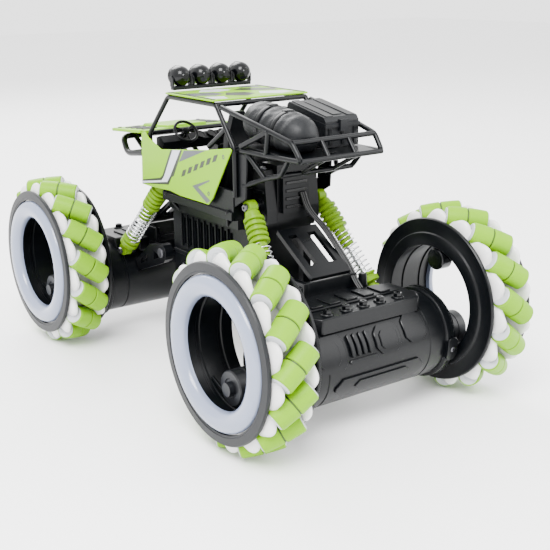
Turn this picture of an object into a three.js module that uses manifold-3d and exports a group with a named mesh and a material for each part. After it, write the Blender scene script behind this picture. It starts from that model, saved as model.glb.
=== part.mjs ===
// Four-wheel crawler toy with roller-rim wheels. Millimetres, +Z up, front faces -Y, +X is its left.
import * as THREE from 'three';
import { mergeVertices } from 'three/addons/utils/BufferGeometryUtils.js';
import Module from 'manifold-3d';

const wasm = await Module();
wasm.setup();

// Wheels
const WHEEL_R = 60;
const WHEEL_Y = 118;
const TREAD_X = 82.3;
const ROLLERS = 15;
const ROLLER_R = 7.6;
const ROLLER_SEAT_R = WHEEL_R - ROLLER_R;
const ROLLER_HALF = 12;
const ROLLER_SKEW = THREE.MathUtils.degToRad(38);
const BORE_R = 34.8;
// Suspension
const PIVOT_Y = 52;
const PIVOT_Z = 70;
const EYE_TOP = new THREE.Vector3(27, 52, 120.7);
const EYE_LOW = new THREE.Vector3(38, 95, 65);
const AXLE_R = 27;
const AXLE_Z = 41;
// Body
const TUB_X = 25;
const TUB_Y = 46;
const DOOR_X = 38;
const DOOR_T = 1.5;
const TUBE_R = 1.6;
const CAGE_X = 34.6;
const ROOF_Z = 184.9;
const LAMP_R = 6.7;
const GAP = 0.4;

const LIME = 0xa8d81f;
const BLACK = 0x14171a;
const WHITE = 0xf1f0ee;
const GREY = 0x5f6267;
const SILVER = 0xc9ccd0;

const group = new THREE.Group();
group.name = 'stunt_car';

function solid(geometry) {
  const bare = new THREE.BufferGeometry();
  bare.setAttribute('position', geometry.attributes.position);
  if (geometry.index) bare.setIndex(geometry.index);
  const merged = mergeVertices(bare, 1e-4);
  return new wasm.Manifold(new wasm.Mesh({
    numProp: 3,
    vertProperties: new Float32Array(merged.attributes.position.array),
    triVerts: new Uint32Array(merged.index.array),
  }));
}

function geometryOf(manifold) {
  const mesh = manifold.asOriginal().simplify(0.06).getMesh();
  const geometry = new THREE.BufferGeometry();
  geometry.setAttribute('position', new THREE.BufferAttribute(mesh.vertProperties, 3));
  geometry.setIndex(new THREE.BufferAttribute(mesh.triVerts, 1));
  geometry.computeVertexNormals();
  return geometry;
}

function union(solids) {
  return solids.reduce((sum, item) => sum.add(item));
}

function cutAll(base, cutters) {
  return cutters.reduce((rest, item) => rest.subtract(item), base);
}

// Box given by its low and high corners.
function box(low, high) {
  const geometry = new THREE.BoxGeometry(high[0] - low[0], high[1] - low[1], high[2] - low[2]);
  geometry.translate((low[0] + high[0]) / 2, (low[1] + high[1]) / 2, (low[2] + high[2]) / 2);
  return solid(geometry);
}

// Cylinder or cone between two points.
function rod(start, end, r0, r1 = r0, sides = 10) {
  const a = new THREE.Vector3(...start);
  const b = new THREE.Vector3(...end);
  const geometry = new THREE.CylinderGeometry(r1, r0, a.distanceTo(b), sides);
  const turn = new THREE.Quaternion().setFromUnitVectors(
    new THREE.Vector3(0, 1, 0), b.clone().sub(a).normalize());
  geometry.applyQuaternion(turn);
  const mid = a.clone().add(b).multiplyScalar(0.5);
  geometry.translate(mid.x, mid.y, mid.z);
  return solid(geometry);
}

function ball(centre, r, sides = 10) {
  const geometry = new THREE.SphereGeometry(r, sides, Math.max(4, Math.round(sides * 0.6)));
  geometry.translate(...centre);
  return solid(geometry);
}

// Ring turned about the X axis from a closed outline of [radius, x] points.
function turned(outline, sides) {
  const points = [...outline, outline[0]].map(([r, x]) => new THREE.Vector2(r, x));
  const geometry = new THREE.LatheGeometry(points, sides);
  geometry.rotateZ(-Math.PI / 2);
  const made = solid(geometry);
  return made.volume() < 0 ? solid(flipped(geometry)) : made;
}

function flipped(geometry) {
  const index = geometry.index.array;
  for (let i = 0; i < index.length; i += 3) {
    [index[i], index[i + 1]] = [index[i + 1], index[i]];
  }
  return geometry;
}

// Solid of revolution about Z from [radius, z] points that start and end on the axis.
function spindle(outline, sides) {
  const geometry = new THREE.LatheGeometry(outline.map(([r, z]) => new THREE.Vector2(r, z)), sides);
  geometry.rotateX(Math.PI / 2);
  return solid(geometry);
}

// Plate with an outline of [y, z] points, from x = x0 to x = x1.
function sidePlate(outline, x0, x1) {
  const shape = new THREE.Shape(outline.map(([y, z]) => new THREE.Vector2(y, z)));
  const geometry = new THREE.ExtrudeGeometry(shape, { depth: x1 - x0, bevelEnabled: false });
  geometry.rotateY(Math.PI / 2);
  geometry.rotateX(Math.PI / 2);
  geometry.translate(x0, 0, 0);
  return solid(geometry);
}

// Bent tube along a run of points: straight lengths that run a little past each bend.
function tube(points, r) {
  const parts = [];
  for (let i = 0; i + 1 < points.length; i += 1) {
    const a = new THREE.Vector3(...points[i]);
    const b = new THREE.Vector3(...points[i + 1]);
    const past = b.clone().sub(a).setLength(0.6 * r);
    parts.push(rod(a.sub(past).toArray(), b.add(past).toArray(), r, r, 5));
  }
  return union(parts);
}

// Barrel between two points, thickest in the middle.
function barrel(start, end, rEnd, rMiddle, sides) {
  const a = new THREE.Vector3(...start);
  const b = new THREE.Vector3(...end);
  const half = a.distanceTo(b) / 2;
  const profile = [[0, -half], [rEnd, -half], [rMiddle, 0], [rEnd, half], [0, half]];
  const geometry = new THREE.LatheGeometry(profile.map(([r, y]) => new THREE.Vector2(r, y)), sides);
  geometry.applyQuaternion(new THREE.Quaternion().setFromUnitVectors(
    new THREE.Vector3(0, 1, 0), b.clone().sub(a).normalize()));
  const mid = a.add(b).multiplyScalar(0.5);
  geometry.translate(mid.x, mid.y, mid.z);
  return solid(geometry);
}

function mirrored(points) {
  return points.map(([x, y, z]) => [-x, y, z]);
}

function add(parent, name, manifold, color, roughness = 0.5, metalness = 0) {
  const material = new THREE.MeshStandardMaterial({ color, roughness, metalness });
  const mesh = new THREE.Mesh(geometryOf(manifold), material);
  mesh.name = name;
  parent.add(mesh);
  return mesh;
}

// ---- wheels ---------------------------------------------------------------

function rollerEnds(k, skew, half) {
  const a = -Math.PI / 2 + (k * 2 * Math.PI) / ROLLERS;
  const centre = new THREE.Vector3(TREAD_X, ROLLER_SEAT_R * Math.cos(a), ROLLER_SEAT_R * Math.sin(a));
  const tangent = new THREE.Vector3(0, -Math.sin(a), Math.cos(a));
  const along = new THREE.Vector3(Math.cos(ROLLER_SKEW), 0, 0)
    .addScaledVector(tangent, skew * Math.sin(ROLLER_SKEW));
  return [-half, half].map((d) => centre.clone().addScaledVector(along, d).toArray());
}

function rollerSet(skew) {
  const parts = [turned([[43.4, 80.8], [46.4, 80.8], [46.4, 83.8], [43.4, 83.8]], ROLLERS)];
  for (let k = 0; k < ROLLERS; k += 1) {
    const [inner, outer] = rollerEnds(k, skew, ROLLER_HALF);
    parts.push(barrel(inner, outer, ROLLER_R - 0.7, ROLLER_R, 8));
  }
  return union(parts);
}

function rollerCarrier(skew) {
  const outline = [[39.5, 68], [57.4, 68], [57.4, 77], [42.2, 77], [42.2, 87.6], [57.4, 87.6], [57.4, 94.6],
    [39.5, 94.6]];
  const cutters = [];
  const lobe = THREE.MathUtils.degToRad(2.8);
  for (let k = 0; k < ROLLERS; k += 1) {
    const [inner, outer] = rollerEnds(k, skew, ROLLER_HALF + 0.5);
    cutters.push(rod(inner, outer, ROLLER_R + 1.2, ROLLER_R + 1.2, 6));
    const a = -Math.PI / 2 + (k * 2 * Math.PI) / ROLLERS;
    [[67, 78, -skew * lobe], [87, 96, skew * lobe]].forEach(([x0, x1, shift]) => {
      const y = 58.5 * Math.cos(a + shift);
      const z = 58.5 * Math.sin(a + shift);
      cutters.push(rod([x0, y, z], [x1, y, z], 6.8, 6.8, 5));
    });
  }
  return cutAll(turned(outline, ROLLERS), cutters);
}

function addWheel(end, skew, front, left) {
  const wheel = new THREE.Group();
  wheel.position.set(0, front ? -WHEEL_Y : WHEEL_Y, WHEEL_R);
  wheel.rotation.z = left ? 0 : Math.PI;
  group.add(wheel);
  const drum = turned([[BORE_R, 62.6], [38, 62.6], [38, 64.4], [52, 64.4], [52, 67], [37.8, 67],
    [37.8, 94.8], [BORE_R, 94.8]], 24);
  add(wheel, `hub_drum_${end}`, drum, BLACK, 0.4);
  const light = turned([[32, 95.2], [44.4, 95.2], [44.4, 98.6], [42, 100.8], [38.4, 101.5],
    [34.8, 100.8], [32.4, 98.6]], 24);
  add(wheel, `light_ring_${end}`, light, 0xd4d9e6, 0.25);
  const motor = union([rod([62.6, 0, -22.5], [88, 0, -22.5], 10.6, 10.6, 18),
    rod([87, 0, -22.5], [91, 0, -22.5], 4, 4, 12)]);
  add(wheel, `hub_motor_${end}`, motor, 0x2b2e32, 0.4);
  add(wheel, `roller_carrier_${end}`, rollerCarrier(skew), WHITE, 0.4);
  add(wheel, `roller_set_${end}`, rollerSet(skew), LIME, 0.35);
  const rim = turned([[45, 96.3], [51.6, 96.3], [51.6, 98.2], [50.4, 99.1], [45, 99.1]], 24);
  add(wheel, `rim_ring_${end}`, rim, GREY, 0.45);
}

// ---- axles and links (built for the rear, turned half round for the front) ---

function axleHousing() {
  const y = WHEEL_Y;
  const parts = [
    rod([-53, y, AXLE_Z], [53, y, AXLE_Z], AXLE_R, AXLE_R, 20),
    rod([-58, y, AXLE_Z], [-52, y, AXLE_Z], AXLE_R + 2, AXLE_R + 2, 20),
    rod([52, y, AXLE_Z], [58, y, AXLE_Z], AXLE_R + 2, AXLE_R + 2, 20),
    rod([-62.2, y, AXLE_Z], [62.2, y, AXLE_Z], AXLE_R - 1, AXLE_R - 1, 20),
    box([-42, 102, 62], [42, 136, 72]),
    box([-28.5, 92, 62], [28.5, 103, 72]),
    box([-20.5, 80, 62], [20.5, 98, 80.8]),
  ];
  [29, 15, 2, -11, -25].forEach((x) => parts.push(rod([x, 130, 71], [x, 130, 75.4], 3, 2.6, 6)));
  [-1, 1].forEach((s) => {
    parts.push(rod([s * 25, 98, 71], [s * 25, 98, 80], 3.2, 2.8, 8));
  });
  [-9, -3, 3, 9].forEach((x) => parts.push(box([x - 1.3, 140, 46], [x + 1.3, 146.6, 58])));
  parts.push(box([-40, 138, 30], [6, 145.6, 38]));
  return cutAll(union(parts), [
    box([-17, 78, 70], [17, 95, 82]),
    box([-60, 145.4, 20], [60, 150, 29]),
  ]);
}

function linkArm() {
  const parts = [];
  const plate = sidePlate([[62, 103.6], [97, 81.2], [98.6, 83.6], [63.6, 106]], -15, 15);
  const slots = [-7.5, 7.5].map((x) => sidePlate(
    [[66, 98], [88, 84], [91, 90], [69, 104.4]], x - 3, x + 3));
  parts.push(cutAll(plate, slots));
  parts.push(box([-3, 69, 60], [3, 74, 99.5]));
  parts.push(box([-31, 69, 56], [31, 75, 62]));
  [-1, 1].forEach((s) => {
    const x0 = s < 0 ? -31 : 27;
    const arm = sidePlate([[47, 66], [52, 62.5], [90, 48], [93, 56], [72, 72], [52, 76], [47, 74]], x0, x0 + 4);
    const windows = [
      sidePlate([[57, 65.5], [66, 62], [66, 68.5]], x0 - 1, x0 + 5),
      sidePlate([[76, 58.5], [86, 54.5], [86, 57], [76, 64.5]], x0 - 1, x0 + 5),
    ];
    parts.push(cutAll(arm, windows));
    parts.push(rod([s * 26, PIVOT_Y, PIVOT_Z], [s * 32.5, PIVOT_Y, PIVOT_Z], 6.5, 6.5, 14));
  });
  return union(parts);
}

function addAxle(end) {
  const axle = new THREE.Group();
  axle.rotation.z = end === 'front' ? Math.PI : 0;
  group.add(axle);
  add(axle, `axle_housing_${end}`, axleHousing(), BLACK, 0.45);
  add(axle, `link_arm_${end}`, linkArm(), BLACK, 0.5);
}

// ---- shocks (local +Z runs from the lower eye to the upper eye) ---------------

const SHOCK_LENGTH = EYE_TOP.distanceTo(EYE_LOW);
const CUP_TOP = 12;
const SEAT = SHOCK_LENGTH - 25;

function shockBody() {
  const top = SHOCK_LENGTH;
  const outline = [[0, top - 8], [2.3, top - 8], [2.3, SEAT - 13], [4.2, SEAT - 13], [4.2, SEAT]];
  for (let z = SEAT; z < top - 8; z += 4.8) {
    outline.push([6.6, z], [6.6, z + 2.6], [5.2, z + 2.6], [5.2, z + 4.8]);
  }
  outline.push([3.6, top - 4], [3.6, top], [0, top]);
  return spindle(outline, 8).add(rod([-3, 0, top], [3, 0, top], 4.3, 4.3, 10));
}

function shockRod() {
  const outline = [[0, 1], [3.6, 2], [3.6, 5], [6.8, 6], [6.8, 9], [5.6, CUP_TOP], [1.8, CUP_TOP],
    [1.8, SEAT + 3], [0, SEAT + 3]];
  return spindle(outline, 8).add(rod([-3, 0, 0], [3, 0, 0], 4.6, 4.6, 10));
}

function shockSpring() {
  class Coil extends THREE.Curve {
    getPoint(t, out = new THREE.Vector3()) {
      const a = t * 2 * Math.PI * 8;
      const z = CUP_TOP + 1 + t * (SEAT - CUP_TOP - 2);
      return out.set(5.5 * Math.cos(a), 5.5 * Math.sin(a), z);
    }
  }
  const wire = new THREE.Shape();
  wire.absarc(0, 0, 0.55, 0, 2 * Math.PI);
  const geometry = new THREE.ExtrudeGeometry(wire, {
    steps: 56, curveSegments: 2, extrudePath: new Coil(),
  });
  return solid(geometry);
}

function addShock(end, sx, sy) {
  const top = EYE_TOP.clone().multiply(new THREE.Vector3(sx, sy, 1));
  const low = EYE_LOW.clone().multiply(new THREE.Vector3(sx, sy, 1));
  const z = top.clone().sub(low).normalize();
  const y = z.clone().cross(new THREE.Vector3(1, 0, 0)).normalize();
  const x = y.clone().cross(z);
  const shock = new THREE.Group();
  shock.position.copy(low);
  shock.quaternion.setFromRotationMatrix(new THREE.Matrix4().makeBasis(x, y, z));
  group.add(shock);
  add(shock, `shock_body_${end}`, shockBody(), 0x9cc41c, 0.4);
  add(shock, `shock_rod_${end}`, shockRod(), 0x9cc41c, 0.4);
  add(shock, `shock_spring_${end}`, shockSpring(), SILVER, 0.3, 0.9);
}

// ---- chassis --------------------------------------------------------------

function chassisTub() {
  const profile = [[-TUB_Y, 104], [-TUB_Y, 56], [-TUB_Y + 10, 42], [TUB_Y - 10, 42], [TUB_Y, 56], [TUB_Y, 104]];
  const tub = sidePlate(profile, -TUB_X, TUB_X);
  const cutters = [];
  for (let i = 0; i < 9; i += 1) {
    const y = -32 + i * 7.2;
    [-1, 1].forEach((s) => {
      cutters.push(box([s < 0 ? -26 : 23.5, y, 80], [s < 0 ? -23.5 : 26, y + 3.4, 99]));
    });
  }
  return cutAll(tub, cutters);
}

function chassisDeck() {
  const parts = [box([-30, -42, 104.4], [30, 42, 110.4]), box([-20, -56, 104.4], [20, 56, 110.4])];
  [-1, 1].forEach((sx) => [-1, 1].forEach((sy) => {
    const x0 = sx < 0 ? -20.2 : 12.6;
    const face = [[sy * 45, 110], [sy * 60, 110], [sy * 60, 118], [sy * 57, 143], [sy * 45, 143]];
    parts.push(sidePlate(sy > 0 ? face : face.reverse(), x0, x0 + 7.6));
    parts.push(rod([sx * 19, sy * EYE_TOP.y, EYE_TOP.z], [sx * 21.6, sy * EYE_TOP.y, EYE_TOP.z], 4.6, 4.6, 12));
  }));
  return union(parts);
}

function cabFloor() {
  const pan = box([-34, -43, 111], [34, 43.5, 130]);
  const well = box([-31.5, -40.5, 115], [31.5, 41, 131]);
  const tunnel = box([-4, -41, 114], [4, 42, 126]);
  return pan.subtract(well).add(tunnel);
}

function door(side) {
  const outline = [[-64, 154], [-66, 118], [-27, 120], [20, 118], [48, 157], [45, 157.5], [18, 153],
    [-38, 146], [-58, 155]];
  const x0 = side > 0 ? DOOR_X - DOOR_T : -DOOR_X;
  return sidePlate(outline, x0, x0 + DOOR_T);
}

function hoodPanel() {
  const slope = sidePlate([[-108, 150.4], [-66.5, 153.4], [-66.5, 155.6], [-108, 152.6]], -37.6, 37.6);
  const neck = sidePlate([[-67, 153.3], [-60.6, 153.8], [-60.6, 156], [-67, 155.5]], -36, 36);
  const rib = sidePlate([[-104, 151.5], [-64, 154.4], [-64, 157.6], [-100, 155]], -16, 16);
  return union([slope, neck, rib]);
}

const CAGE = [
  [[CAGE_X, -57, 154.5], [CAGE_X, -30.5, 181.6], [CAGE_X, 27.4, 181.6], [CAGE_X, 47, 156.6], [CAGE_X, 47, 127]],
  [[CAGE_X, -57, 154.5], [CAGE_X, -57, 134]],
  [[CAGE_X, 27.4, 181.6], [CAGE_X, 38, 168], [CAGE_X, 18, 154.6]],
];
const RACK = [
  [[34.4, 34, 180.4], [34, 63, 175], [31, 100, 166.5]],
  [[33, 80, 171], [34.2, 53, 159.2]],
  [[33.8, 53, 156.5], [32, 76, 156.2], [30.3, 107.6, 156.8]],
  [[31, 100, 166.5], [30.3, 107.6, 156.8]],
  [[33, 80, 171], [32, 76, 156.2]],
  [[32.8, 53, 134.6], [28, 69, 141], [27, 84, 145], [28, 94, 156.6]],
  [[28, 69, 141], [33, 56, 156.4]],
];

function cageSolid(r) {
  const parts = [];
  CAGE.forEach((run) => {
    parts.push(tube(run, r));
    parts.push(tube(mirrored(run), r));
  });
  [[-57, 154.5], [-30.5, 181.6], [27.4, 181.6], [47, 156.6]].forEach(([y, z]) => {
    parts.push(rod([-CAGE_X, y, z], [CAGE_X, y, z], r, r, 5));
  });
  return union(parts);
}

function rearRack() {
  const parts = [];
  RACK.forEach((run) => {
    parts.push(tube(run, TUBE_R));
    parts.push(tube(mirrored(run), TUBE_R));
  });
  [[31, 100, 166.5], [30.3, 107.6, 156.8], [27, 84, 145], [32, 76, 156.2]].forEach(([x, y, z]) => {
    parts.push(rod([-x, y, z], [x, y, z], TUBE_R, TUBE_R, 5));
  });
  [-10, 10].forEach((x) => parts.push(rod([x, 100, 166.5], [x, 107.6, 156.8], 1.3, 1.3, 5)));
  [-12, 12].forEach((x) => parts.push(rod([x, 84, 145], [x, 107.6, 156.8], 1.3, 1.3, 5)));
  parts.push(sidePlate([[51, 157.4], [104, 155.5], [104, 157.4], [51, 159.2]], -31.5, 31.5));
  return union(parts);
}

function lampBar() {
  const parts = [
    box([-31, -33.4, 185.4], [31, -29, 188]),
  ];
  [-24, -8, 8, 24].forEach((x) => {
    parts.push(rod([x, -31, 187], [x, -31, 190], 2.2, 1.8, 8));
    const dome = spindle([[0, -6.4], [LAMP_R, -6.4], [LAMP_R, 0], [5, 4], [2.2, 6], [0, 6]], 12);
    parts.push(dome.rotate([-90, 0, 0]).translate([x, -31, 194.2]));
  });
  return union(parts);
}

function roofPanel() {
  const plate = box([-36.8, -30.5, 183.4], [36.8, 27.4, ROOF_Z]);
  return plate;
}

function dashboard() {
  return union([
    sidePlate([[-55, 143.5], [-55, 151.5], [-50, 153], [-45, 149], [-46, 143.5]], -31, 31),
    rod([15, -49, 150], [15, -47, 151], 3, 3, 10),
  ]);
}

function steeringWheel() {
  const torus = new THREE.TorusGeometry(8.2, 1, 5, 16);
  const parts = [solid(torus), rod([0, 0, -4.6], [0, 0, 0.8], 2.4, 2.4, 10)];
  for (let k = 0; k < 3; k += 1) {
    const a = Math.PI / 2 + (k * 2 * Math.PI) / 3;
    parts.push(rod([0, 0, 0], [8.2 * Math.cos(a), 8.2 * Math.sin(a), 0], 0.9, 0.9, 6));
  }
  return union(parts);
}

function seat() {
  const back = new THREE.Shape([[-12, 128], [12, 128], [9, 160], [4, 176], [-4, 176], [-9, 160]]
    .map(([x, z]) => new THREE.Vector2(x, z)));
  const geometry = new THREE.ExtrudeGeometry(back, { depth: 5, bevelEnabled: false });
  geometry.rotateX(Math.PI / 2);
  geometry.translate(0, 27, 0);
  return union([
    solid(geometry),
    box([-12, -10, 116], [12, 24, 130]),
    sidePlate([[-8, 129], [16, 129], [24, 129], [24, 142]], -12, -9),
    sidePlate([[-8, 129], [16, 129], [24, 129], [24, 142]], 9, 12),
  ]);
}

function cargoBag() {
  const parts = [
    rod([15, 50, 171.6], [15, 84, 167.2], 13, 13, 12),
    ball([15, 50, 171.6], 13, 12),
    ball([15, 84, 167.2], 13, 12),
  ];
  const floor = sidePlate([[30, 150], [115, 150], [115, 157.6], [30, 160.4]], -5, 40);
  return union(parts).subtract(floor);
}

function cargoBox() {
  const body = sidePlate([[50, 159.8], [88, 158.6], [88, 174], [86, 176.6], [52, 183], [50, 181]], -28.6, -3);
  const lid = sidePlate([[49.2, 177], [88.8, 170.4], [88.8, 172.6], [49.2, 179.2]], -29.2, -2.4);
  const clip = box([-19, 87, 168], [-13, 90, 175]);
  return union([body, lid, clip]);
}

function frontBumper() {
  return union([
    tube([[34, -62.5, 140], [34, -92, 136], [30, -106, 146], [-30, -106, 146], [-34, -92, 136], [-34, -62.5, 140]], 2.2),
    tube([[20, -64, 120], [20, -98, 140.5], [20, -106, 146]], 1.8),
    tube([[-20, -64, 120], [-20, -98, 140.5], [-20, -106, 146]], 1.8),
    rod([-33, -64, 120], [33, -64, 120], 2, 2, 8),
    rod([-33, -92, 136], [33, -92, 136], 1.8, 1.8, 8),
  ]);
}

function electronicsBox() {
  return union([
    box([-12.4, 44.4, 110.8], [12.4, 60, 146]),
    box([-10, 58, 116], [10, 63, 140]),
  ]);
}

// ---- assembly -------------------------------------------------------------

addWheel('fl', 1, true, true);
addWheel('fr', -1, true, false);
addWheel('rl', -1, false, true);
addWheel('rr', 1, false, false);
addAxle('front');
addAxle('rear');
addShock('fl', 1, -1);
addShock('fr', -1, -1);
addShock('rl', 1, 1);
addShock('rr', -1, 1);
add(group, 'chassis_tub', chassisTub(), BLACK, 0.55);
add(group, 'chassis_deck', chassisDeck(), BLACK, 0.5);
add(group, 'cab_floor', cabFloor(), BLACK, 0.6);
add(group, 'door_left', door(1), LIME, 0.35);
add(group, 'door_right', door(-1), LIME, 0.35);
add(group, 'hood_panel', hoodPanel(), LIME, 0.35);
add(group, 'roof_panel', roofPanel(), LIME, 0.35);
add(group, 'roll_cage', cageSolid(TUBE_R), BLACK, 0.45);
add(group, 'rear_rack', rearRack(), BLACK, 0.45);
add(group, 'lamp_bar', lampBar(), BLACK, 0.35);
add(group, 'dashboard', dashboard(), BLACK, 0.6);
const wheel = add(group, 'steering_wheel', steeringWheel(), BLACK, 0.5);
wheel.position.set(15, -42, 155.6);
wheel.rotation.x = -Math.PI / 2 + 0.75;
wheel.rotation.order = 'XYZ';
const seatLeft = add(group, 'seat_left', seat(), BLACK, 0.6);
seatLeft.position.x = 17;
const seatRight = add(group, 'seat_right', seat(), BLACK, 0.6);
seatRight.position.x = -17;
add(group, 'cargo_bag', cargoBag(), BLACK, 0.6);
add(group, 'cargo_box', cargoBox(), BLACK, 0.5);
add(group, 'front_bumper', frontBumper(), BLACK, 0.5);
add(group, 'electronics_box', electronicsBox(), BLACK, 0.5);

export default group;
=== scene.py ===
import bpy
import bmesh
import math
from mathutils import Matrix, Vector


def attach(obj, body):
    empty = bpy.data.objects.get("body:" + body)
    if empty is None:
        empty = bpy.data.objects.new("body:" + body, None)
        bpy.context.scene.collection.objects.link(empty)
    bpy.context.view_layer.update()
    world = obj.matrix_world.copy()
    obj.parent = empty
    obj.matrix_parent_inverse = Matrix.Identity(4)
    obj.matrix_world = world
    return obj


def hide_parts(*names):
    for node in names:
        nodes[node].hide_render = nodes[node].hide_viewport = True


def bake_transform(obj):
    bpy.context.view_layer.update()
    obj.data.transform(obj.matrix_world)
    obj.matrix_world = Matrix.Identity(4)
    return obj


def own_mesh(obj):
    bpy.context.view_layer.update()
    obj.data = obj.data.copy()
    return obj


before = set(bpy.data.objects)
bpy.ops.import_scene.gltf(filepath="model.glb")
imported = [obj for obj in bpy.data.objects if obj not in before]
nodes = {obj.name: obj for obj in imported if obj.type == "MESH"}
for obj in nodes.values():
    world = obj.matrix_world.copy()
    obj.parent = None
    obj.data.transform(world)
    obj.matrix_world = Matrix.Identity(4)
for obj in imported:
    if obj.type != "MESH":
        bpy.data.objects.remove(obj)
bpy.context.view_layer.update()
MM = 0.001
WELD = 1e-7
BEVEL_ANGLE = math.radians(35)
ENDS = ("fl", "fr", "rl", "rr")

# ---- materials ------------------------------------------------------------


def surface(name, colour, rough, coat=0.0, metal=0.0, grain=0.0, grain_scale=900.0, vary=0.04, shine=0.5):
    """Plastic or metal whose roughness drifts a little, with a fine bump where grain is given."""
    m = bpy.data.materials.new(name)
    m.use_nodes = True
    nt = m.node_tree
    p = nt.nodes["Principled BSDF"]
    p.inputs["Base Color"].default_value = (*colour, 1)
    p.inputs["Metallic"].default_value = metal
    p.inputs["Coat Weight"].default_value = coat
    p.inputs["Coat Roughness"].default_value = 0.12
    p.inputs["Specular IOR Level"].default_value = shine
    where = nt.nodes.new("ShaderNodeTexCoord")
    cloud = nt.nodes.new("ShaderNodeTexNoise")
    cloud.inputs["Scale"].default_value = 60
    cloud.inputs["Detail"].default_value = 5
    nt.links.new(where.outputs["Object"], cloud.inputs["Vector"])
    spread = nt.nodes.new("ShaderNodeMapRange")
    spread.inputs["To Min"].default_value = max(0.02, rough - vary)
    spread.inputs["To Max"].default_value = rough + vary
    nt.links.new(cloud.outputs["Fac"], spread.inputs["Value"])
    nt.links.new(spread.outputs["Result"], p.inputs["Roughness"])
    if grain:
        fine = nt.nodes.new("ShaderNodeTexNoise")
        fine.inputs["Scale"].default_value = grain_scale
        fine.inputs["Detail"].default_value = 3
        bump = nt.nodes.new("ShaderNodeBump")
        bump.inputs["Strength"].default_value = grain
        bump.inputs["Distance"].default_value = 0.0004
        nt.links.new(where.outputs["Object"], fine.inputs["Vector"])
        nt.links.new(fine.outputs["Fac"], bump.inputs["Height"])
        nt.links.new(bump.outputs["Normal"], p.inputs["Normal"])
    return m


BLACK = surface("black_plastic", (0.0010, 0.0014, 0.0020), 0.3, grain=0.08, shine=0.2)
SATIN = surface("black_satin", (0.0011, 0.0015, 0.0021), 0.36, grain=0.14, shine=0.17)
GLOSS = surface("black_gloss", (0.0010, 0.0013, 0.0018), 0.2, shine=0.25)
BAG = surface("bag_black", (0.0024, 0.003, 0.004), 0.4, grain=0.5, grain_scale=1600, shine=0.24)
LIME = surface("lime_body", (0.185, 0.40, 0.0), 0.32, vary=0.03, shine=0.12)
ROLL = surface("roller_lime", (0.15, 0.33, 0.0), 0.42, grain=0.06, shine=0.11)
SEAM = surface("roller_seam", (0.02, 0.05, 0.0), 0.6)
SHOCK = surface("shock_lime", (0.11, 0.22, 0.0), 0.4, shine=0.14)
WHITE = surface("carrier_white", (0.66, 0.655, 0.645), 0.34, coat=0.1)
CAPW = surface("roller_end", (0.40, 0.42, 0.43), 0.4)
RIM = surface("rim_grey", (0.0085, 0.0092, 0.0105), 0.42, grain=0.08, shine=0.22)
LIGHT = surface("light_ring", (0.20, 0.23, 0.32), 0.2, coat=0.25)
STEEL = surface("spring_steel", (0.74, 0.75, 0.77), 0.22, metal=1.0)
SCREW = surface("screw_dark", (0.10, 0.10, 0.11), 0.32, metal=0.9)
MOTOR = surface("motor_can", (0.006, 0.0066, 0.008), 0.34, shine=0.3)
DECAL_WHITE = surface("decal_white", (0.52, 0.54, 0.60), 0.3)
DECAL_GREY = surface("decal_grey", (0.055, 0.06, 0.07), 0.35)
DECAL_DARK = surface("decal_dark", (0.01, 0.015, 0.004), 0.35)
RUBBER = surface("wire_black", (0.002, 0.002, 0.0024), 0.4, shine=0.35)

# ---- making pieces ----------------------------------------------------------


def dress(me, mats, sharp=32):
    """Welds the mesh, turns its faces outward, and gives it materials and smooth shading."""
    bm = bmesh.new()
    bm.from_mesh(me)
    bmesh.ops.remove_doubles(bm, verts=bm.verts, dist=WELD)
    bmesh.ops.recalc_face_normals(bm, faces=bm.faces)
    bm.to_mesh(me)
    bm.free()
    for m in mats:
        me.materials.append(m)
    me.polygons.foreach_set("use_smooth", [True] * len(me.polygons))
    me.set_sharp_from_angle(angle=math.radians(sharp))


def soften(o, width):
    """Rounds the edges of a piece by a bevel of the given width in mm."""
    edge = o.modifiers.new("edge", "BEVEL")
    edge.width = width * MM
    edge.segments = 2
    edge.limit_method = "ANGLE"
    edge.angle_limit = BEVEL_ANGLE


def finish_mesh(name, me, mats, body, sharp=32, bevel=0.0):
    """Puts a mesh in the scene as a piece that rides on a body, or on none yet."""
    dress(me, mats, sharp)
    o = bpy.data.objects.new(name, me)
    bpy.context.scene.collection.objects.link(o)
    if bevel:
        soften(o, bevel)
    if body:
        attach(o, body)
    return o


def raw_mesh(name, verts, faces):
    me = bpy.data.meshes.new(name)
    me.from_pydata([tuple(c * MM for c in v) for v in verts], [], faces)
    return me


def make(name, verts, faces, mat, body, sharp=32, bevel=0.0):
    return finish_mesh(name, raw_mesh(name, verts, faces), [mat], body, sharp, bevel)


def basis(axis):
    """Two directions across the axis, then the axis itself, all of length one."""
    w = Vector(axis).normalized()
    u = w.orthogonal().normalized()
    return u, w.cross(u), w


def ring_faces(rows, cols, loop_rows=False):
    """Quads that join rows of points, each row a closed ring of cols points."""
    faces = []
    for i in range(rows if loop_rows else rows - 1):
        for j in range(cols):
            k = (j + 1) % cols
            n = (i + 1) % rows
            faces.append((i * cols + j, i * cols + k, n * cols + k, n * cols + j))
    return faces


def turned_data(profile, origin, axis, segs, loop):
    u, v, w = basis(axis)
    o = Vector(origin)
    verts = []
    for r, h in profile:
        for j in range(segs):
            a = 2 * math.pi * j / segs
            verts.append(tuple(o + w * h + (u * math.cos(a) + v * math.sin(a)) * r))
    return verts, ring_faces(len(profile), segs, loop)


def turned(name, profile, origin, axis, mat, body, segs=64, loop=False, sharp=32):
    """Turned piece; profile is (radius, height) and either a loop or ends on the axis."""
    verts, faces = turned_data(profile, origin, axis, segs, loop)
    return make(name, verts, faces, mat, body, sharp)


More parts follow.
